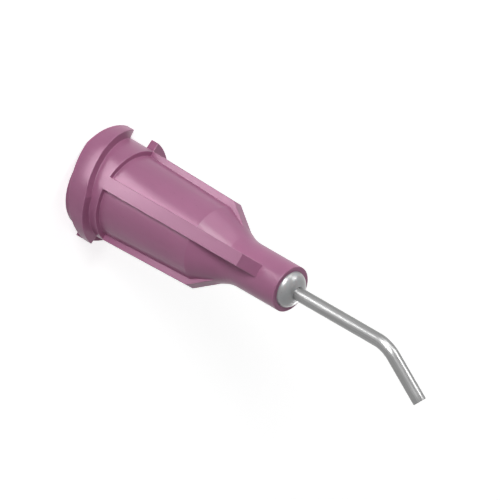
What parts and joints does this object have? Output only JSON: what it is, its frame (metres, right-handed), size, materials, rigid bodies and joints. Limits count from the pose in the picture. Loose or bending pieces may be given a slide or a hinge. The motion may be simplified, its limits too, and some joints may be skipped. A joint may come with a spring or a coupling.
{
  "type": "dispensing needle tip",
  "caption": "Bent steel dispensing needle bonded into a winged plastic luer lock hub, for placing small dots and beads of adhesive, paste or flux.",
  "frame": {"origin": "centre of the luer end face, where the hub's axis meets the plane it stands on", "axes": "+Z along the hub's axis from the luer end to the nose, +X towards the side the tip is bent to"},
  "size_m": [0.0078, 0.0078, 0.0291],
  "materials": {
    "hub_plastic": "moulded polypropylene, satin",
    "cannula_steel": "drawn stainless tube",
    "bead_adhesive": "cured adhesive, glossy"
  },
  "bodies": {
    "root": {"hub": "hub_plastic", "cannula": "cannula_steel", "adhesive_bead": "bead_adhesive"}
  },
  "joints": []
}
